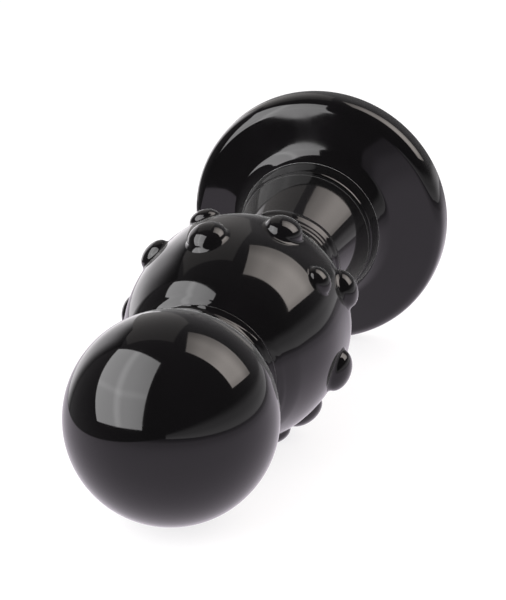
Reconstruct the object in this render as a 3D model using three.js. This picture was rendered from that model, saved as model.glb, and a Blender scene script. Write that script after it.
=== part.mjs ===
// A flared-base plug of solid black glass, lying on its side as it rests on a table.
// Units are millimetres and +Z is up. The object's own axis lies in the YZ plane: the round head is towards
// -Y, the trumpet-shaped foot is towards +Y, and the foot end is the higher one.
// Everything is gathered or fused hot glass, so nothing moves and the pieces meet at fused seams.

import * as THREE from 'three';

// Driving dimensions. Distances along the axis are counted from the centre of the head. Slopes are rise
// per step, and pulls say how far a curve keeps the direction it starts or ends with.
const HEAD_RADIUS = 20;
const NECK_START = 12.8;
const NECK_RADIUS = 13.9;
const NECK_WAIST_AT = 16.8;
const BULB_START = 18.2;
const BULB_START_RADIUS = 14.9;
const SHOULDER_END = 23.4;
const SHOULDER_RADIUS = 18.67;
const SHOULDER_SLOPES = [0.85, 0.5];
const SHOULDER_PULL = 1.5;
const FRONT_PULLS = [7.5, 10];
const BULB_WIDEST_AT = 44.8;
const BULB_RADIUS = 23.4;
const BULB_END = 59.4;
const BACK_PULL = 7;
const BACK_CORNER = [19.2, 57.6];
const STEM_END_RADIUS = 14.6;
const STEM_WAIST_RADIUS = 12;
const STEM_WAIST_AT = 73;
const STEM_WAIST_PULLS = [6, 2.5];
const STEM_CONE_SLOPE = 0.225;
const STEM_CONE_PULL = 20;
const CONE_END_RADIUS = 16.9;
const COLLAR_START = 98.6;
const COLLAR_RADIUS = 17.1;
const COLLAR_LENGTH = 4.2;
const FLARE_RADII = [18, 18.8, 21, 25.4, 30, 31.6];
const FLARE_PLACES = [102.8, 103.9, 105.66, 106.6, 107.54, 108.45];
const FLARE_SLOPES = [1.7, 1.12, 0.24, 0.2, 0.21, 1.05];
const LIP_PULLS = [0.9, 4.9];
const RIM_AT = 115;
const RIM_RADIUS = 33.1;
const RIM_EDGE = 2.6;
const FOOT_FACE_RADIUS = 29.5;
const NUB_BASE_RADIUS = 4.1;
const NUB_HEIGHT = 2.6;
const NUB_SKIRT = 0.25;
const FUSED_GAP = 0.3;

// The nubs are laid on by hand in two staggered rings. Each row is one nub: its turn around the axis in
// degrees, clockwise from the top as seen from the head, its distance along the axis, and its size.
// The lowest nub of each ring, near 180 degrees, just meets the table, and a few are smaller than the rest.
const FRONT_NUBS = [
  [-49, 41, 0.88],
  [-9, 34.6, 1.04],
  [54, 38.2, 0.72],
  [106, 38.6, 1.06],
  [157.5, 36.4, 0.9],
  [-150, 37.4, 0.97],
  [-109, 35.6, 1.02],
];
const BACK_NUBS = [
  [-87, 41, 1.0],
  [-25, 50.8, 0.86],
  [24.5, 44.8, 1.03],
  [70, 48.6, 1.02],
  [146, 44, 1.15],
  [200, 45.4, 1.0],
  [-124, 44.2, 0.98],
];

const RING_STEPS = 48;
const FOOT_RING_STEPS = 64;

const glass = (name) => new THREE.MeshStandardMaterial({
  name,
  color: 0x08080a,
  roughness: 0.05,
  metalness: 0,
});

// A turned solid about the local Y axis. Each point is (radius, distance along the axis).
// Half a step of turn puts a flat between two corners at the bottom, where the object rests.
function turned(name, points, steps = RING_STEPS) {
  const geometry = new THREE.LatheGeometry(points, steps, Math.PI / steps);
  const mesh = new THREE.Mesh(geometry, glass(`${name}_glass`));
  mesh.name = name;
  return mesh;
}

const point = (radius, along) => new THREE.Vector2(radius, along);

// Points from one end of a curve to the other, both ends included.
const along = (curve, steps) => curve.getPoints(steps);

function headBall() {
  const end = NECK_START - FUSED_GAP / 2;
  const points = [];
  const last = Math.PI / 2 + Math.asin(end / HEAD_RADIUS);
  const steps = 18;
  for (let i = 0; i <= steps; i += 1) {
    const angle = (last * i) / steps;
    points.push(point(HEAD_RADIUS * Math.sin(angle), -HEAD_RADIUS * Math.cos(angle)));
  }
  points[0].x = 0;
  points.push(point(0, end));
  return turned('head_ball', points);
}

function neckWaist() {
  const start = NECK_START + FUSED_GAP / 2;
  const end = BULB_START - FUSED_GAP / 2;
  const startRadius = Math.sqrt(HEAD_RADIUS ** 2 - start ** 2);
  const dip = new THREE.QuadraticBezierCurve(
    point(startRadius, start),
    point(NECK_RADIUS, (start + NECK_WAIST_AT) / 2),
    point(NECK_RADIUS, NECK_WAIST_AT),
  );
  const rise = new THREE.QuadraticBezierCurve(
    point(NECK_RADIUS, NECK_WAIST_AT),
    point((NECK_RADIUS + BULB_START_RADIUS) / 2, (NECK_WAIST_AT + end) / 2),
    point(BULB_START_RADIUS, end),
  );
  return turned('neck_waist', [
    point(0, start),
    ...along(dip, 5),
    ...along(rise, 5).slice(1),
    point(0, end),
  ]);
}

// The bulb has a short steep shoulder at the neck, then rises in a long curve, is widest past its middle
// and rounds off quickly behind.
const bulbShoulder = new THREE.CubicBezierCurve(
  point(BULB_START_RADIUS, BULB_START),
  point(BULB_START_RADIUS + SHOULDER_PULL * SHOULDER_SLOPES[0], BULB_START + SHOULDER_PULL),
  point(SHOULDER_RADIUS - SHOULDER_PULL * SHOULDER_SLOPES[1], SHOULDER_END - SHOULDER_PULL),
  point(SHOULDER_RADIUS, SHOULDER_END),
);
const bulbFront = new THREE.CubicBezierCurve(
  point(SHOULDER_RADIUS, SHOULDER_END),
  point(SHOULDER_RADIUS + FRONT_PULLS[0] * SHOULDER_SLOPES[1], SHOULDER_END + FRONT_PULLS[0]),
  point(BULB_RADIUS, BULB_WIDEST_AT - FRONT_PULLS[1]),
  point(BULB_RADIUS, BULB_WIDEST_AT),
);
const bulbBack = new THREE.CubicBezierCurve(
  point(BULB_RADIUS, BULB_WIDEST_AT),
  point(BULB_RADIUS, BULB_WIDEST_AT + BACK_PULL),
  point(BACK_CORNER[0], BACK_CORNER[1]),
  point(STEM_END_RADIUS, BULB_END),
);
const bulbPoints = [
  ...along(bulbShoulder, 4),
  ...along(bulbFront, 12).slice(1),
  ...along(bulbBack, 10).slice(1),
];

function bodyBulb() {
  return turned('body_bulb', [point(0, BULB_START), ...bulbPoints, point(0, BULB_END)]);
}

// The bulb's radius and slope at a distance along the axis, read from its own outline.
function bulbAt(distance) {
  let i = 1;
  while (i < bulbPoints.length - 1 && bulbPoints[i].y < distance) {
    i += 1;
  }
  const low = bulbPoints[i - 1];
  const high = bulbPoints[i];
  const slope = (high.x - low.x) / (high.y - low.y);
  return { radius: low.x + slope * (distance - low.y), slope };
}

// A drop of glass: a flat-bottomed dome, then bent so that its underside follows the bulb.
function nub(name, [turn, distance, size]) {
  const dome = [point(0, 0)];
  const steps = 6;
  for (let i = 0; i <= steps; i += 1) {
    const angle = (Math.PI / 2) * (i / steps);
    dome.push(point(NUB_BASE_RADIUS * size * Math.cos(angle), NUB_HEIGHT * size * Math.sin(angle) + NUB_SKIRT));
  }
  dome.splice(1, 0, point(NUB_BASE_RADIUS * size, 0));
  dome[dome.length - 1].x = 0;
  const mesh = turned(name, dome, 20);
  const places = mesh.geometry.attributes.position;
  const middle = bulbAt(distance).radius;
  const lean = Math.sqrt(1 + bulbAt(distance).slope ** 2);
  for (let i = 0; i < places.count; i += 1) {
    const y = distance + places.getX(i) / lean;
    const { radius, slope } = bulbAt(y);
    const around = THREE.MathUtils.degToRad(turn) + places.getZ(i) / middle;
    const height = (places.getY(i) + FUSED_GAP) / Math.sqrt(1 + slope ** 2);
    const out = radius + height;
    places.setXYZ(i, out * Math.sin(around), y - slope * height, out * Math.cos(around));
  }
  mesh.geometry.computeVertexNormals();
  return mesh;
}

// A thick rod that is drawn in a little behind the bulb and widens as a cone towards the collar.
function stemRod() {
  const start = BULB_END + FUSED_GAP;
  const end = COLLAR_START - FUSED_GAP;
  const drawnIn = new THREE.CubicBezierCurve(
    point(STEM_END_RADIUS, start),
    point(STEM_WAIST_RADIUS, start + STEM_WAIST_PULLS[0]),
    point(STEM_WAIST_RADIUS, STEM_WAIST_AT - STEM_WAIST_PULLS[0]),
    point(STEM_WAIST_RADIUS, STEM_WAIST_AT),
  );
  const cone = new THREE.CubicBezierCurve(
    point(STEM_WAIST_RADIUS, STEM_WAIST_AT),
    point(STEM_WAIST_RADIUS, STEM_WAIST_AT + STEM_WAIST_PULLS[1]),
    point(CONE_END_RADIUS - STEM_CONE_PULL * STEM_CONE_SLOPE, end - STEM_CONE_PULL),
    point(CONE_END_RADIUS, end),
  );
  return turned('stem_rod', [
    point(0, start),
    ...along(drawnIn, 6),
    ...along(cone, 8).slice(1),
    point(0, end),
  ]);
}

// The collar of glass that is left where the stem is fused to the foot. It opens out towards the foot.
function seamCollar() {
  const start = COLLAR_START;
  const end = COLLAR_START + COLLAR_LENGTH - FUSED_GAP;
  const round = new THREE.QuadraticBezierCurve(
    point(CONE_END_RADIUS, start),
    point(COLLAR_RADIUS, start),
    point(FLARE_RADII[0], end),
  );
  return turned('seam_collar', [point(0, start), ...along(round, 8), point(0, end)]);
}

// A curve between two points of the flare, with the given rise along the axis per step outwards.
function flarePiece(i) {
  const step = (FLARE_RADII[i + 1] - FLARE_RADII[i]) / 3;
  return new THREE.CubicBezierCurve(
    point(FLARE_RADII[i], FLARE_PLACES[i]),
    point(FLARE_RADII[i] + step, FLARE_PLACES[i] + step * FLARE_SLOPES[i]),
    point(FLARE_RADII[i + 1] - step, FLARE_PLACES[i + 1] - step * FLARE_SLOPES[i + 1]),
    point(FLARE_RADII[i + 1], FLARE_PLACES[i + 1]),
  );
}

// The foot: hollow-curved next to the collar, nearly flat, then rounded over a thick lip to a flat face.
function flaredFoot() {
  const last = FLARE_RADII.length - 1;
  const lip = new THREE.CubicBezierCurve(
    point(FLARE_RADII[last], FLARE_PLACES[last]),
    point(FLARE_RADII[last] + LIP_PULLS[0], FLARE_PLACES[last] + LIP_PULLS[0] * FLARE_SLOPES[last]),
    point(RIM_RADIUS, RIM_AT - LIP_PULLS[1]),
    point(RIM_RADIUS, RIM_AT),
  );
  const edge = new THREE.QuadraticBezierCurve(
    point(RIM_RADIUS, RIM_AT),
    point(RIM_RADIUS, RIM_AT + RIM_EDGE),
    point(FOOT_FACE_RADIUS, RIM_AT + RIM_EDGE),
  );
  const outline = [point(0, FLARE_PLACES[0]), point(FLARE_RADII[0], FLARE_PLACES[0])];
  for (let i = 0; i < last; i += 1) {
    outline.push(...along(flarePiece(i), 4).slice(1));
  }
  outline.push(...along(lip, 6).slice(1));
  outline.push(...along(edge, 5).slice(1));
  outline.push(point(0, RIM_AT + RIM_EDGE));
  return turned('flared_foot', outline, FOOT_RING_STEPS);
}

const plug = new THREE.Group();
plug.add(headBall());
plug.add(neckWaist());
plug.add(bodyBulb());
FRONT_NUBS.forEach((row, i) => plug.add(nub(`nub_front_${i + 1}`, row)));
BACK_NUBS.forEach((row, i) => plug.add(nub(`nub_back_${i + 1}`, row)));
plug.add(stemRod());
plug.add(seamCollar());
plug.add(flaredFoot());

// Lying down: the head and the rim both touch the table, so the axis climbs from one to the other.
const reach = Math.hypot(RIM_RADIUS, RIM_AT);
plug.rotation.x = Math.acos(HEAD_RADIUS / reach) - Math.atan2(RIM_AT, RIM_RADIUS);

// The origin is the middle of the underside of the whole object's box.
const object = new THREE.Group();
object.add(plug);
object.updateMatrixWorld(true);
const box = new THREE.Box3().setFromObject(object, true);
const middle = box.getCenter(new THREE.Vector3());
object.position.set(-middle.x, -middle.y, -box.min.z);

export default object;
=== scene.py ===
import math
import random

import bpy
from mathutils import Matrix, Vector, noise


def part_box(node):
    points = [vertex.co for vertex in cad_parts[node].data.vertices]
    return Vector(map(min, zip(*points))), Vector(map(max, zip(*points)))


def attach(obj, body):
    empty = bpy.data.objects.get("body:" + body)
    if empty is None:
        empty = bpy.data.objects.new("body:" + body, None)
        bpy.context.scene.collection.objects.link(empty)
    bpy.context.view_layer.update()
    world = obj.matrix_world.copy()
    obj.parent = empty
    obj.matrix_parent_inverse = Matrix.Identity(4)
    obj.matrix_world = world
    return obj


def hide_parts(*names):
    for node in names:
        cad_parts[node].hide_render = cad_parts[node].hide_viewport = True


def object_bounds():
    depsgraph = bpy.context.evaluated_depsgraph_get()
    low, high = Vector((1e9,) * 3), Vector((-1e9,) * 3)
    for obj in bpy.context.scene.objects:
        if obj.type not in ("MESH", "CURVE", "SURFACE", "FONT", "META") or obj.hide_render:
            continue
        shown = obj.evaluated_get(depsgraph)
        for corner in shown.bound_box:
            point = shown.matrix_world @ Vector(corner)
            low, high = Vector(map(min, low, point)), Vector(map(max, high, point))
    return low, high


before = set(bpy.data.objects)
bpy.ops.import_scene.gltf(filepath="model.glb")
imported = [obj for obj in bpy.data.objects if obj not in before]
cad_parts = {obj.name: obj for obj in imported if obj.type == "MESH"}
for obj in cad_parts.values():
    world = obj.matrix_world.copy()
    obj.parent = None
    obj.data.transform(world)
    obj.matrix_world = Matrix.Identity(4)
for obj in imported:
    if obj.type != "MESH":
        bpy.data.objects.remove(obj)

CAD_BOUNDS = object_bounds()
MM = 0.001

# Driving dimensions in millimetres, the same as the CAD's. Distances along the axis are counted from the
# centre of the head.
HEAD_RADIUS = 20.0
NECK_START = 12.8
NECK_RADIUS = 13.9
NECK_WAIST_AT = 16.8
BULB_START = 18.2
BULB_START_RADIUS = 14.9
SHOULDER_END = 23.4
SHOULDER_RADIUS = 18.67
SHOULDER_SLOPES = (0.85, 0.5)
SHOULDER_PULL = 1.5
FRONT_PULLS = (7.5, 10.0)
BULB_WIDEST_AT = 44.8
BULB_RADIUS = 23.4
BULB_END = 59.4
BACK_PULL = 7.0
BACK_CORNER = (19.2, 57.6)
STEM_END_RADIUS = 14.6
STEM_WAIST_RADIUS = 12.0
STEM_WAIST_AT = 73.0
STEM_WAIST_PULLS = (6.0, 2.5)
STEM_CONE_SLOPE = 0.225
STEM_CONE_PULL = 20.0
CONE_END_RADIUS = 16.9
COLLAR_START = 98.6
COLLAR_RADIUS = 17.1
COLLAR_LENGTH = 4.2
FLARE_RADII = (18.0, 18.8, 21.0, 25.4, 30.0, 31.6)
FLARE_PLACES = (102.8, 103.9, 105.66, 106.6, 107.54, 108.45)
FLARE_SLOPES = (1.7, 1.12, 0.24, 0.2, 0.21, 1.05)
LIP_PULLS = (0.9, 4.9)
RIM_AT = 115.0
RIM_RADIUS = 33.1
RIM_EDGE = 2.6
FOOT_FACE_RADIUS = 29.5
NUB_BASE_RADIUS = 4.1
NUB_HEIGHT = 2.6

# Each nub's turn around the axis in degrees, its distance along the axis, and its size.
FRONT_NUBS = (
    (-49, 41, 0.88),
    (-9, 34.6, 1.04),
    (54, 38.2, 0.72),
    (106, 38.6, 1.06),
    (157.5, 36.4, 0.9),
    (-150, 37.4, 0.97),
    (-109, 35.6, 1.02),
)
BACK_NUBS = (
    (-87, 41, 1.0),
    (-25, 50.8, 0.86),
    (24.5, 44.8, 1.03),
    (70, 48.6, 1.02),
    (146, 44, 1.15),
    (200, 45.4, 1.0),
    (-124, 44.2, 0.98),
)

RING_STEPS = 160

# Ridges that a tool left on the neck, and on the stem near the bulb: place along the axis, height and
# half-width.
TOOL_RIDGES = (
    (15.4, 0.22, 0.8),
    (17.3, 0.3, 0.6),
    (19.3, 0.1, 0.7),
    (79.6, 0.28, 1.3),
    (77.4, 0.10, 0.8),
    (76.0, 0.12, 0.8),
    (74.6, 0.10, 0.9),
)
# Waves that the ridges follow around the glass: height, number of waves and start.
RIDGE_WANDER = ((0.5, 2, 0.6), (0.25, 5, 0.0))
RIDGE_EVENNESS = 0.65
RIDGE_PATCHINESS = 0.7
RIDGE_PATCH_SCALE = 1.7

# The uneven seam where the neck meets the bulb: height, scale around, scale along and offset of each noise.
NECK_SEAM_HALF_WIDTH = 1.5
NECK_SEAM_NOISES = ((0.16, 3.1, 0.55, 0), (0.08, 9.0, 1.1, 5))

# The two fine grooves beside the collar: place and half-width.
GROOVES = ((COLLAR_START - 0.9, 0.45), (COLLAR_START, 0.5))
GROOVE_DEPTH = 0.3

HEAD_RINGS = 96
FOOT_RING_STEPS = 200
STEM_OVERLAP = 1.0

# Nubs: how far each may differ from a round upright dome, then the dome and the fillet around its foot. The
# fillet's points are (share of the base's radius, height above the bulb).
NUB_STRETCH = 0.06
NUB_LEAN = 0.25
NUB_RING_STEPS = 40
DOME_END = math.radians(76)
DOME_RINGS = 16
NUB_FILLET = ((1.03, 0.02), (1.22, -0.02), (1.3, -0.25))
NUB_ROOT_DEPTH = 0.6
FIRST_FRONT_SEED = 1
FIRST_BACK_SEED = 21

# The object's own frame: local +Y runs from the head to the foot. It climbs at the angle at which the head
# and a sharp rim would both touch the floor. The foot's rounded lip reaches lower than that, so the foot
# touches the floor and the head ends 0.25 mm above it.
RIM_REACH = math.hypot(RIM_RADIUS, RIM_AT)
TILT = math.acos(HEAD_RADIUS / RIM_REACH) - math.atan2(RIM_AT, RIM_RADIUS)
HEAD_LOW, HEAD_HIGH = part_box("head_ball")
FLOOR_Z = CAD_BOUNDS[0][2]
HEAD_CENTRE = Vector(
    (
        (HEAD_LOW.x + HEAD_HIGH.x) / 2,
        HEAD_LOW.y + HEAD_RADIUS * MM,
        HEAD_HIGH.z - HEAD_RADIUS * MM,
    )
)
PLACE = Matrix.Translation(HEAD_CENTRE) @ Matrix.Rotation(TILT, 4, "X") @ Matrix.Scale(MM, 4)


# ---- Curves ---------------------------------------------------------------------------------------


def bezier(points, steps):
    """Points from one end of a Bezier curve of any degree to the other, both included."""
    out = []
    for i in range(steps + 1):
        t = i / steps
        row = [Vector(p) for p in points]
        while len(row) > 1:
            row = [a.lerp(b, t) for a, b in zip(row, row[1:])]
        out.append((row[0].x, row[0].y))
    return out


def smooth_window(x, centre, half_width):
    """1 at the centre, fading to 0 at half_width."""
    t = min(abs(x - centre) / half_width, 1.0)
    return (1 - t * t) ** 2


# ---- Turned pieces --------------------------------------------------------------------------------


def mesh_piece(name, verts, faces, nodes):
    mesh = bpy.data.meshes.new(name)
    mesh.from_pydata([PLACE @ Vector(v) for v in verts], [], faces)
    mesh.validate()
    mesh.polygons.foreach_set("use_smooth", [True] * len(mesh.polygons))
    mesh.update()
    piece = bpy.data.objects.new(name, mesh)
    bpy.context.scene.collection.objects.link(piece)
    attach(piece, "root")
    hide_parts(*nodes)
    return piece


def no_ripple(turn, along):
    return 0.0


def turned(name, outline, node, ripple=no_ripple, steps=RING_STEPS):
    """A closed solid of revolution from (radius, distance) points.

    ripple(turn, along) moves the surface out.
    """
    verts = []
    faces = []
    rings = [p for p in outline if p[0] > 0]
    for radius, along in rings:
        for k in range(steps):
            turn = 2 * math.pi * k / steps
            out = radius + ripple(turn, along)
            verts.append((out * math.sin(turn), along, out * math.cos(turn)))
    for j in range(len(rings) - 1):
        for k in range(steps):
            a = j * steps + k
            b = j * steps + (k + 1) % steps
            faces.append((a, b, b + steps, a + steps))
    first = len(verts)
    verts.append((0, outline[0][1], 0))
    verts.append((0, outline[-1][1], 0))
    last_ring = (len(rings) - 1) * steps
    for k in range(steps):
        n = (k + 1) % steps
        faces.append((first, n, k))
        faces.append((first + 1, last_ring + k, last_ring + n))
    return mesh_piece(name, verts, faces, [node])


def fused_seam(turn, along):
    """Hand-worked unevenness: the seam at the neck, the tool ridges and the grooves beside the collar."""
    around = Vector((math.sin(turn), math.cos(turn), 0))
    neck = smooth_window(along, BULB_START, NECK_SEAM_HALF_WIDTH)
    bump = 0.0
    if neck > 0:
        for height, scale, drift, offset in NECK_SEAM_NOISES:
            bump += neck * height * noise.noise(around * scale + Vector((offset, 0, along * drift)))
    wander = sum(height * math.sin(waves * turn + start) for height, waves, start in RIDGE_WANDER)
    for place, height, width in TOOL_RIDGES:
        patch = noise.noise(around * RIDGE_PATCH_SCALE + Vector((0, 0, place)))
        patchy = RIDGE_EVENNESS + RIDGE_PATCHINESS * patch
        bump += height * patchy * smooth_window(along + wander, place, width)
    bump -= GROOVE_DEPTH * sum(smooth_window(along, place, width) for place, width in GROOVES)
    return bump


def head_ball():
    last = math.pi / 2 + math.asin(NECK_START / HEAD_RADIUS)
    outline = [(0, -HEAD_RADIUS)]
    for i in range(1, HEAD_RINGS + 1):
        angle = last * i / HEAD_RINGS
        outline.append((HEAD_RADIUS * math.sin(angle), -HEAD_RADIUS * math.cos(angle)))
    outline.append((0, NECK_START))
    return turned("head_ball_glass", outline, "head_ball")


def neck_waist():
    start_radius = math.sqrt(HEAD_RADIUS**2 - NECK_START**2)
    dip_middle = (NECK_RADIUS, (NECK_START + NECK_WAIST_AT) / 2)
    rise_middle = ((NECK_RADIUS + BULB_START_RADIUS) / 2, (NECK_WAIST_AT + BULB_START) / 2)
    dip = bezier(((start_radius, NECK_START), dip_middle, (NECK_RADIUS, NECK_WAIST_AT)), steps=30)
    rise = bezier(((NECK_RADIUS, NECK_WAIST_AT), rise_middle, (BULB_START_RADIUS, BULB_START)), steps=16)
    outline = [(0, NECK_START), *dip, *rise[1:], (0, BULB_START)]
    return turned("neck_waist_glass", outline, "neck_waist", fused_seam)


BULB_SHOULDER = bezier(
    (
        (BULB_START_RADIUS, BULB_START),
        (BULB_START_RADIUS + SHOULDER_PULL * SHOULDER_SLOPES[0], BULB_START + SHOULDER_PULL),
        (SHOULDER_RADIUS - SHOULDER_PULL * SHOULDER_SLOPES[1], SHOULDER_END - SHOULDER_PULL),
        (SHOULDER_RADIUS, SHOULDER_END),
    ),
    steps=24,
)
BULB_FRONT = bezier(
    (
        (SHOULDER_RADIUS, SHOULDER_END),
        (SHOULDER_RADIUS + FRONT_PULLS[0] * SHOULDER_SLOPES[1], SHOULDER_END + FRONT_PULLS[0]),
        (BULB_RADIUS, BULB_WIDEST_AT - FRONT_PULLS[1]),
        (BULB_RADIUS, BULB_WIDEST_AT),
    ),
    steps=60,
)
BULB_BACK = bezier(
    (
        (BULB_RADIUS, BULB_WIDEST_AT),
        (BULB_RADIUS, BULB_WIDEST_AT + BACK_PULL),
        BACK_CORNER,
        (STEM_END_RADIUS, BULB_END),
    ),
    steps=40,
)
BULB_OUTLINE = BULB_SHOULDER + BULB_FRONT[1:] + BULB_BACK[1:]


def body_bulb():
    outline = [(0, BULB_START), *BULB_OUTLINE, (0, BULB_END)]
    return turned("body_bulb_glass", outline, "body_bulb", fused_seam)


def bulb_at(along):
    """The bulb's radius and slope at a distance along the axis."""
    i = 1
    while i < len(BULB_OUTLINE) - 1 and BULB_OUTLINE[i][1] < along:
        i += 1
    low = BULB_OUTLINE[i - 1]
    high = BULB_OUTLINE[i]
    slope = (high[0] - low[0]) / (high[1] - low[1])
    return low[0] + slope * (along - low[1]), slope


def nub(name, node, turn_degrees, along, size, seed):
    """A drop of glass that was laid on the bulb: a round dome with a small hollow fillet around its foot."""
    draw = random.Random(seed)
    stretch = 1 + draw.uniform(-NUB_STRETCH, NUB_STRETCH)
    lean = draw.uniform(-NUB_LEAN, NUB_LEAN)
    base = NUB_BASE_RADIUS * size
    top = NUB_HEIGHT * size
    # (distance from the middle, height above the bulb) from the top of the dome to below the bulb's skin
    profile = []
    for i in range(DOME_RINGS + 1):
        angle = DOME_END * i / DOME_RINGS
        profile.append((base * math.sin(angle), top * math.cos(angle)))
    fillet_points = [(base * share, height) for share, height in NUB_FILLET]
    profile += bezier((profile[-1], *fillet_points), steps=8)[1:]
    steps = NUB_RING_STEPS
    middle_radius, middle_slope = bulb_at(along)
    tilt = math.sqrt(1 + middle_slope**2)

    def bent(x, z, height):
        y = along + x / tilt
        radius, slope = bulb_at(y)
        around = math.radians(turn_degrees) + z / middle_radius
        rise = height / math.sqrt(1 + slope**2)
        out = radius + rise
        return (out * math.sin(around), y - slope * rise, out * math.cos(around))

    verts = [bent(0, 0, top)]
    faces = []
    for distance, height in profile[1:]:
        for k in range(steps):
            angle = 2 * math.pi * k / steps
            x = distance * stretch * math.cos(angle) + lean * height / top
            z = distance / stretch * math.sin(angle)
            verts.append(bent(x, z, height))
    rings = len(profile) - 1
    for k in range(steps):
        faces.append((0, 1 + k, 1 + (k + 1) % steps))
    for j in range(rings - 1):
        for k in range(steps):
            a = 1 + j * steps + k
            b = 1 + j * steps + (k + 1) % steps
            faces.append((b, a, a + steps, b + steps))
    under = len(verts)
    verts.append(bent(0, 0, -NUB_ROOT_DEPTH))
    last = 1 + (rings - 1) * steps
    for k in range(steps):
        faces.append((under, last + (k + 1) % steps, last + k))
    return mesh_piece(name, verts, faces, [node])


def stem_rod():
    drawn_in = bezier(
        (
            (STEM_END_RADIUS, BULB_END - STEM_OVERLAP),
            (STEM_WAIST_RADIUS, BULB_END + STEM_WAIST_PULLS[0]),
            (STEM_WAIST_RADIUS, STEM_WAIST_AT - STEM_WAIST_PULLS[0]),
            (STEM_WAIST_RADIUS, STEM_WAIST_AT),
        ),
        steps=50,
    )
    cone = bezier(
        (
            (STEM_WAIST_RADIUS, STEM_WAIST_AT),
            (STEM_WAIST_RADIUS, STEM_WAIST_AT + STEM_WAIST_PULLS[1]),
            (CONE_END_RADIUS - STEM_CONE_PULL * STEM_CONE_SLOPE, COLLAR_START - STEM_CONE_PULL),
            (CONE_END_RADIUS, COLLAR_START),
        ),
        steps=150,
    )
    outline = [(0, BULB_END - STEM_OVERLAP), *drawn_in, *cone[1:], (0, COLLAR_START)]
    return turned("stem_rod_glass", outline, "stem_rod", fused_seam)


def seam_collar():
    end = COLLAR_START + COLLAR_LENGTH
    side_points = ((CONE_END_RADIUS, COLLAR_START), (COLLAR_RADIUS, COLLAR_START), (FLARE_RADII[0], end))
    side = bezier(side_points, steps=32)
    outline = [(0, COLLAR_START), *side, (0, end)]
    return turned("seam_collar_glass", outline, "seam_collar")


def flare_piece(i):
    step = (FLARE_RADII[i + 1] - FLARE_RADII[i]) / 3
    return bezier(
        (
            (FLARE_RADII[i], FLARE_PLACES[i]),
            (FLARE_RADII[i] + step, FLARE_PLACES[i] + step * FLARE_SLOPES[i]),
            (FLARE_RADII[i + 1] - step, FLARE_PLACES[i + 1] - step * FLARE_SLOPES[i + 1]),
            (FLARE_RADII[i + 1], FLARE_PLACES[i + 1]),
        ),
        steps=24,
    )


def flared_foot():
    lip = bezier(
        (
            (FLARE_RADII[-1], FLARE_PLACES[-1]),
            (FLARE_RADII[-1] + LIP_PULLS[0], FLARE_PLACES[-1] + LIP_PULLS[0] * FLARE_SLOPES[-1]),
            (RIM_RADIUS, RIM_AT - LIP_PULLS[1]),
            (RIM_RADIUS, RIM_AT),
        ),
        steps=24,
    )
    face_at = RIM_AT + RIM_EDGE
    edge = bezier(((RIM_RADIUS, RIM_AT), (RIM_RADIUS, face_at), (FOOT_FACE_RADIUS, face_at)), steps=20)
    outline = [(0, FLARE_PLACES[0])]
    outline.append((FLARE_RADII[0], FLARE_PLACES[0]))
    for i in range(len(FLARE_RADII) - 1):
        outline += flare_piece(i)[1:]
    outline += lip[1:]
    outline += edge[1:]
    outline.append((0, face_at))
    return turned("flared_foot_glass", outline, "flared_foot", steps=FOOT_RING_STEPS)


pieces = [head_ball(), neck_waist(), body_bulb()]
for i, row in enumerate(FRONT_NUBS):
    pieces.append(nub(f"nub_front_{i + 1}_glass", f"nub_front_{i + 1}", *row, seed=i + FIRST_FRONT_SEED))
for i, row in enumerate(BACK_NUBS):
    pieces.append(nub(f"nub_back_{i + 1}_glass", f"nub_back_{i + 1}", *row, seed=i + FIRST_BACK_SEED))
pieces += [stem_rod(), seam_collar(), flared_foot()]


# ---- Glass ----------------------------------------------------------------------------------------


def black_glass(name, roughness_low, roughness_high, wave_strength):
    """Opaque black glass: colour a breath above black, mirror gloss with faint haze and slow waves."""
    material = bpy.data.materials.new(name)
    material.use_nodes = True
    tree = material.node_tree
    nodes = tree.nodes
    links = tree.links
    nodes.clear()
    out = nodes.new("ShaderNodeOutputMaterial")
    shader = nodes.new("ShaderNodeBsdfPrincipled")
    shader.inputs["IOR"].default_value = 1.5
    shader.inputs["Sheen Weight"].default_value = 0.25
    shader.inputs["Sheen Roughness"].default_value = 0.3
    links.new(shader.outputs["BSDF"], out.inputs["Surface"])
    where = nodes.new("ShaderNodeTexCoord")

    tint = nodes.new("ShaderNodeTexNoise")
    tint.inputs["Scale"].default_value = 60
    tint.inputs["Detail"].default_value = 4
    links.new(where.outputs["Object"], tint.inputs["Vector"])
    colours = nodes.new("ShaderNodeValToRGB")
    colours.color_ramp.elements[0].position = 0.3
    colours.color_ramp.elements[0].color = (0.0006, 0.0005, 0.0006, 1)
    colours.color_ramp.elements[1].position = 0.75
    colours.color_ramp.elements[1].color = (0.0018, 0.0015, 0.0019, 1)
    links.new(tint.outputs["Fac"], colours.inputs["Fac"])
    links.new(colours.outputs["Color"], shader.inputs["Base Color"])

    haze = nodes.new("ShaderNodeTexNoise")
    haze.inputs["Scale"].default_value = 90
    haze.inputs["Detail"].default_value = 6
    haze.inputs["Roughness"].default_value = 0.6
    links.new(where.outputs["Object"], haze.inputs["Vector"])
    gloss = nodes.new("ShaderNodeMapRange")
    gloss.inputs["From Min"].default_value = 0.35
    gloss.inputs["From Max"].default_value = 0.7
    gloss.inputs["To Min"].default_value = roughness_low
    gloss.inputs["To Max"].default_value = roughness_high
    links.new(haze.outputs["Fac"], gloss.inputs["Value"])
    links.new(gloss.outputs["Result"], shader.inputs["Roughness"])

    waves = nodes.new("ShaderNodeTexNoise")
    waves.inputs["Scale"].default_value = 110
    waves.inputs["Detail"].default_value = 1
    links.new(where.outputs["Object"], waves.inputs["Vector"])
    bump = nodes.new("ShaderNodeBump")
    bump.inputs["Strength"].default_value = wave_strength
    bump.inputs["Distance"].default_value = 0.0002
    links.new(waves.outputs["Fac"], bump.inputs["Height"])
    links.new(bump.outputs["Normal"], shader.inputs["Normal"])
    return material


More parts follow.
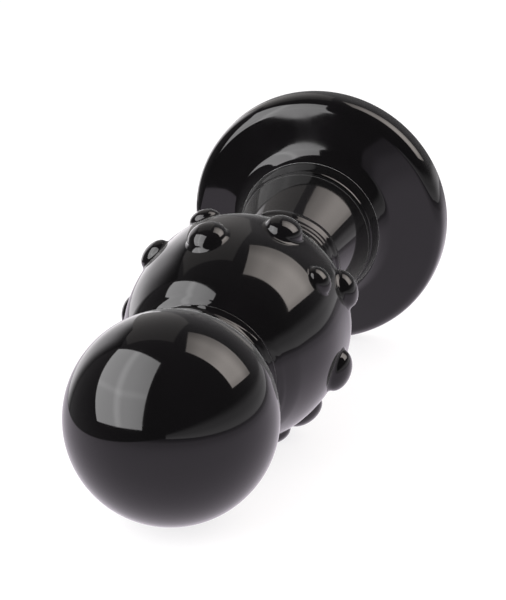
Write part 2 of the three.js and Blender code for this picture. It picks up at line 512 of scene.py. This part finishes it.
body_material = black_glass("black_glass", roughness_low=0.03, roughness_high=0.08, wave_strength=0.12)
nub_material = black_glass("nub_glass", roughness_low=0.03, roughness_high=0.08, wave_strength=0.1)
for piece in pieces:
    piece.data.materials.append(nub_material if piece.name.startswith("nub") else body_material)
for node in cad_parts.values():
    node.data.materials.clear()
    node.data.materials.append(nub_material if node.name.startswith("nub") else body_material)


# ---- Studio ---------------------------------------------------------------------------------------


def glowing(name, colour, strength_node=None, strength=1.0):
    material = bpy.data.materials.new(name)
    material.use_nodes = True
    tree = material.node_tree
    tree.nodes.clear()
    out = tree.nodes.new("ShaderNodeOutputMaterial")
    glow = tree.nodes.new("ShaderNodeEmission")
    glow.inputs["Color"].default_value = (*colour, 1)
    glow.inputs["Strength"].default_value = strength
    tree.links.new(glow.outputs["Emission"], out.inputs["Surface"])
    if strength_node:
        strength_node(tree, glow.inputs["Strength"])
    return material


def stage_quad(name, corners, material):
    """A flat four-sided panel with its corners' places from 0 to 1 in a UV map."""
    mesh = bpy.data.meshes.new(name)
    mesh.from_pydata([tuple(c) for c in corners], [], [(0, 1, 2, 3)])
    uv = mesh.uv_layers.new(name="place")
    for loop, place in zip(uv.data, ((0, 1), (1, 1), (1, 0), (0, 0))):
        loop.uv = place
    mesh.materials.append(material)
    quad = bpy.data.objects.new(name, mesh)
    bpy.context.scene.collection.objects.link(quad)
    return quad


def softbox(name, distance, directions, material):
    """A glowing panel that fills four directions, seen from the head, and isn't seen by the camera itself."""
    directions = [Vector(d).normalized() for d in directions]
    facing = sum(directions, Vector()).normalized()
    corners = [HEAD_CENTRE + d * (distance / d.dot(facing)) for d in directions]
    panel = stage_quad(name, corners, material)
    panel.visible_camera = False
    return panel


def math_node(tree, operation, a, b):
    node = tree.nodes.new("ShaderNodeMath")
    node.operation = operation
    for socket, value in zip(node.inputs, (a, b)):
        if isinstance(value, (int, float)):
            socket.default_value = value
        else:
            tree.links.new(value, socket)
    return node.outputs[0]


def curve_node(tree, value, points):
    """A smooth curve through (place, strength) points."""
    node = tree.nodes.new("ShaderNodeValToRGB")
    ramp = node.color_ramp
    ramp.interpolation = "EASE"
    while len(ramp.elements) < len(points):
        ramp.elements.new(0.5)
    for element, (place, level) in zip(ramp.elements, points):
        element.position = place
        element.color = (level, level, level, 1)
    tree.links.new(value, node.inputs["Fac"])
    return node.outputs["Color"]


def panel_place(tree):
    uv = tree.nodes.new("ShaderNodeUVMap")
    uv.uv_map = "place"
    split = tree.nodes.new("ShaderNodeSeparateXYZ")
    tree.links.new(uv.outputs["UV"], split.inputs["Vector"])
    return split.outputs["X"], split.outputs["Y"]


def cool_strength(tree, socket):
    """The cool softbox: brightest along an upright spine, with a faint seam across it."""
    u, v = panel_place(tree)
    across = curve_node(tree, u, ((0, 0.82), (0.36, 0.84), (0.46, 1.08), (0.57, 0.84), (1, 0.7)))
    along = curve_node(tree, v, ((0, 0.95), (0.44, 0.96), (0.5, 1.1), (0.56, 0.96), (1, 0.85)))
    level = math_node(tree, "MULTIPLY", across, along)
    tree.links.new(math_node(tree, "MULTIPLY", level, COOL_RADIANCE), socket)


def warm_strength(tree, socket):
    """The warm softbox: brightest in the middle of its length."""
    u, v = panel_place(tree)
    along = curve_node(tree, u, ((0, 0.42), (0.3, 0.7), (0.62, 1.0), (0.85, 0.95), (1, 0.7)))
    across = curve_node(tree, v, ((0, 1.0), (0.5, 0.9), (1, 0.42)))
    level = math_node(tree, "MULTIPLY", across, along)
    tree.links.new(math_node(tree, "MULTIPLY", level, WARM_RADIANCE), socket)


COOL_DISTANCE = 0.36
WARM_DISTANCE = 2.5
CEILING_DISTANCE = 2.5
COOL_RADIANCE = 5.8
WARM_RADIANCE = 5.0
softbox(
    "cool_softbox",
    COOL_DISTANCE,
    ((-0.708, 0.206, 0.674), (-0.074, -0.243, 0.971), (-0.167, -0.981, 0.120), (-0.867, -0.487, 0.034)),
    glowing("cool_light", (1.0, 0.99, 1.0), cool_strength),
)
softbox(
    "warm_softbox",
    WARM_DISTANCE,
    ((0.004, 0.582, 0.815), (0.646, 0.704, 0.313), (0.863, 0.185, 0.469), (0.178, 0.139, 0.977)),
    glowing("warm_light", (1.0, 0.92, 0.87), warm_strength),
)

# The camera sees a white floor all around. The reflections show a table top in its place, a glowing panel
# whose brightness is painted light. Its left edge runs past the object, so that part of the room is dark.
FLOOR_LEFT_POINT = Vector((-0.099, -0.129))
FLOOR_LEFT_WAY = Vector((-0.2, 0.98))
FLOOR_REACH = 6.0
FLOOR_GLOW = 0.8
FLOOR_PAINT = 0.25


def floor_material():
    material = bpy.data.materials.new("floor_white")
    material.use_nodes = True
    tree = material.node_tree
    tree.nodes.clear()
    out = tree.nodes.new("ShaderNodeOutputMaterial")
    glow = tree.nodes.new("ShaderNodeEmission")
    glow.inputs["Color"].default_value = (1, 0.99, 1, 1)
    glow.inputs["Strength"].default_value = FLOOR_GLOW
    paint = tree.nodes.new("ShaderNodeBsdfDiffuse")
    paint.inputs["Color"].default_value = (FLOOR_PAINT, FLOOR_PAINT, FLOOR_PAINT, 1)
    both = tree.nodes.new("ShaderNodeAddShader")
    tree.links.new(glow.outputs["Emission"], both.inputs[0])
    tree.links.new(paint.outputs["BSDF"], both.inputs[1])
    tree.links.new(both.outputs["Shader"], out.inputs["Surface"])
    return material


back_left = FLOOR_LEFT_POINT + FLOOR_LEFT_WAY * FLOOR_REACH
front_left = FLOOR_LEFT_POINT - FLOOR_LEFT_WAY * FLOOR_REACH
floor = stage_quad(
    "floor",
    (
        (-FLOOR_REACH, FLOOR_REACH, FLOOR_Z),
        (FLOOR_REACH, FLOOR_REACH, FLOOR_Z),
        (FLOOR_REACH, -FLOOR_REACH, FLOOR_Z),
        (-FLOOR_REACH, -FLOOR_REACH, FLOOR_Z),
    ),
    floor_material(),
)
floor.visible_glossy = False


def table_strength(tree, socket):
    """Painted light: the table's glow is brightest around the object and falls off over a metre."""
    where = tree.nodes.new("ShaderNodeTexCoord")
    reach = tree.nodes.new("ShaderNodeVectorMath")
    reach.operation = "LENGTH"
    tree.links.new(where.outputs["Object"], reach.inputs[0])
    levels = ((0.1, 0.85), (0.25, 0.6), (0.5, 0.32), (1, 0.22))
    tree.links.new(curve_node(tree, reach.outputs["Value"], levels), socket)


table = stage_quad(
    "table_in_reflections",
    (
        (back_left.x, back_left.y, FLOOR_Z),
        (FLOOR_REACH, FLOOR_REACH, FLOOR_Z),
        (FLOOR_REACH, -FLOOR_REACH, FLOOR_Z),
        (front_left.x, front_left.y, FLOOR_Z),
    ),
    glowing("table_light", (0.97, 0.88, 1.0), table_strength),
)


def only_in_reflections(obj):
    obj.visible_camera = False
    obj.visible_diffuse = False
    obj.visible_shadow = False


only_in_reflections(table)

# A white wall at the right, which only the reflections show. Its glow is painted light, bright at the
# bottom and fading upwards as if lit from below.
WALL_AT = 1.5
WALL_RISE = 0.36
WALL_HEIGHT = WALL_AT * WALL_RISE


def wall_strength(tree, socket):
    _, v = panel_place(tree)
    tree.links.new(curve_node(tree, v, ((0, 0.85), (0.5, 0.5), (1, 0.1))), socket)


wall = stage_quad(
    "right_wall",
    (
        (WALL_AT, -FLOOR_REACH, FLOOR_Z + WALL_HEIGHT),
        (WALL_AT, FLOOR_REACH, FLOOR_Z + WALL_HEIGHT),
        (WALL_AT, FLOOR_REACH, FLOOR_Z),
        (WALL_AT, -FLOOR_REACH, FLOOR_Z),
    ),
    glowing("wall_light", (1, 0.97, 1), wall_strength),
)
only_in_reflections(wall)

# A pale screen behind on the left, which only the reflections show. Its glow is painted light, brightest
# near the table.
SCREEN_AT = -1.5
SCREEN_FRONT = 0.5
SCREEN_BACK = 3.5
SCREEN_TOP = 1.5
SCREEN_BOTTOM = -0.3


def screen_strength(tree, socket):
    u, v = panel_place(tree)
    up = curve_node(tree, v, ((0, 1.7), (0.5, 1.2), (1, 0.0)))
    side = curve_node(tree, u, ((0, 0.0), (0.2, 1.0), (1, 1.0)))
    tree.links.new(math_node(tree, "MULTIPLY", up, side), socket)


screen = stage_quad(
    "left_screen",
    (
        (SCREEN_AT, SCREEN_FRONT, FLOOR_Z + SCREEN_TOP),
        (SCREEN_AT, SCREEN_BACK, FLOOR_Z + SCREEN_TOP),
        (SCREEN_AT, SCREEN_BACK, FLOOR_Z + SCREEN_BOTTOM),
        (SCREEN_AT, SCREEN_FRONT, FLOOR_Z + SCREEN_BOTTOM),
    ),
    glowing("screen_light", (1, 0.97, 1), screen_strength),
)
only_in_reflections(screen)

# A dim stretch of ceiling between the two softboxes.
ceiling = softbox(
    "ceiling",
    CEILING_DISTANCE,
    ((-0.45, 0.9, 0.02), (-0.1, 0.76, 0.6), (-0.05, 0.25, 0.95), (-0.63, 0.25, 0.74)),
    glowing("ceiling_light", (1.0, 0.95, 0.93), strength=0.3),
)
only_in_reflections(ceiling)

# The room: white to the camera and to diffuse light, dark in reflections.
world = bpy.data.worlds.new("studio")
bpy.context.scene.world = world
world.use_nodes = True
tree = world.node_tree
tree.nodes.clear()
out = tree.nodes.new("ShaderNodeOutputWorld")
seen = tree.nodes.new("ShaderNodeBackground")
seen.inputs["Color"].default_value = (1, 1, 1, 1)
room = tree.nodes.new("ShaderNodeBackground")
room.inputs["Color"].default_value = (0.1, 0.095, 0.1, 1)
path = tree.nodes.new("ShaderNodeLightPath")
bright = tree.nodes.new("ShaderNodeMath")
bright.operation = "MAXIMUM"
tree.links.new(path.outputs["Is Camera Ray"], bright.inputs[0])
tree.links.new(path.outputs["Is Diffuse Ray"], bright.inputs[1])
mix = tree.nodes.new("ShaderNodeMixShader")
tree.links.new(bright.outputs[0], mix.inputs["Fac"])
tree.links.new(room.outputs["Background"], mix.inputs[1])
tree.links.new(seen.outputs["Background"], mix.inputs[2])
tree.links.new(mix.outputs["Shader"], out.inputs["Surface"])
bpy.context.scene.view_settings.view_transform = "Standard"
bpy.context.scene.view_settings.look = "None"

# ---- Camera ---------------------------------------------------------------------------------------

CAMERA_FROM_HEAD = Vector((0.07798, -0.2093, 0.08892))
CAMERA_HEADING = math.radians(16.6)
CAMERA_PITCH = math.radians(16.6)
CAMERA_LENS = 78
CAMERA_SENSOR = 36
CAMERA_CLIP_START = 0.01
camera_data = bpy.data.cameras.new("camera")
camera_data.lens = CAMERA_LENS
camera_data.sensor_width = CAMERA_SENSOR
camera_data.clip_start = CAMERA_CLIP_START
camera = bpy.data.objects.new("camera", camera_data)
bpy.context.scene.collection.objects.link(camera)
camera.location = HEAD_CENTRE + CAMERA_FROM_HEAD
camera.rotation_euler = (math.pi / 2 - CAMERA_PITCH, 0, CAMERA_HEADING)
bpy.context.scene.camera = camera
